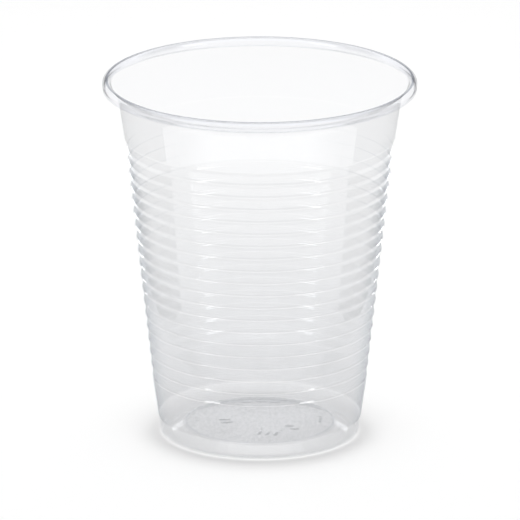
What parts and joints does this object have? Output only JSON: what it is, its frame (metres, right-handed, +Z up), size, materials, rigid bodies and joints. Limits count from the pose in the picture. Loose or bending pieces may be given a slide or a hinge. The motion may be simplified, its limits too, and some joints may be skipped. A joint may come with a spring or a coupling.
{
  "type": "disposable plastic cup",
  "caption": "Clear thin-walled disposable drinking cup with a rolled rim, a ribbed taper and a stepped foot round a raised base.",
  "frame": {"origin": "centre of the standing ring, on the surface that the cup stands on", "axes": "+Z up along the cup's axis, towards the open mouth"},
  "size_m": [0.0702, 0.0702, 0.0822],
  "materials": {
    "clear_plastic": "clear thin sheet, glossy wall with a faint haze, fine-grained base panel"
  },
  "bodies": {
    "root": {"cup": "clear_plastic"}
  },
  "joints": []
}
